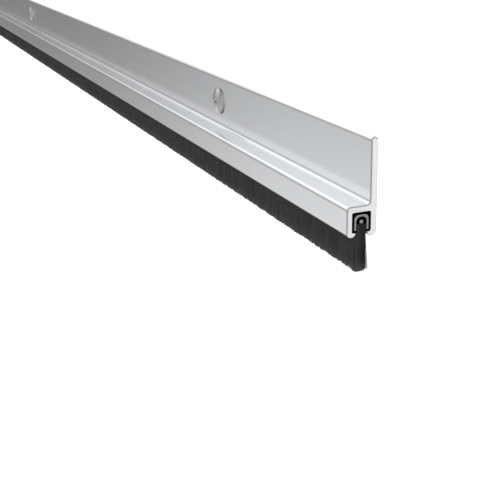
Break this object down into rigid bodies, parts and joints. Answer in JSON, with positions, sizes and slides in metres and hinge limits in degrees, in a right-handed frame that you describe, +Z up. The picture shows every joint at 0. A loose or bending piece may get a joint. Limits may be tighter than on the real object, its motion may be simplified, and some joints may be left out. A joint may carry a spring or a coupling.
{
  "type": "meeting stile brush seal",
  "caption": "Straight aluminium face-fixed carrier with a hooked channel along its lower edge that grips a sleeved black strip brush, and round-head fixing screws.",
  "frame": {"origin": "on the carrier's door face, half way along the strip, on the line of the screws", "axes": "+X along the strip, +Y out of the door face towards the door, +Z up with the brush hanging down"},
  "size_m": [2.1, 0.0263, 0.0385],
  "materials": {
    "carrier_aluminium": "satin clear anodised",
    "liner_black": "matt black",
    "galvanised_steel": "dull galvanised",
    "wire_steel": "drawn steel",
    "black_filament": "matt black nylon filament",
    "plated_screw": "bright zinc plated"
  },
  "bodies": {
    "root": {"carrier": "carrier_aluminium", "brush_liner": "liner_black", "backing_channel": "galvanised_steel", "core_wire": "wire_steel", "bristle_pack": "black_filament", "fixing_screws": "plated_screw"}
  },
  "joints": []
}
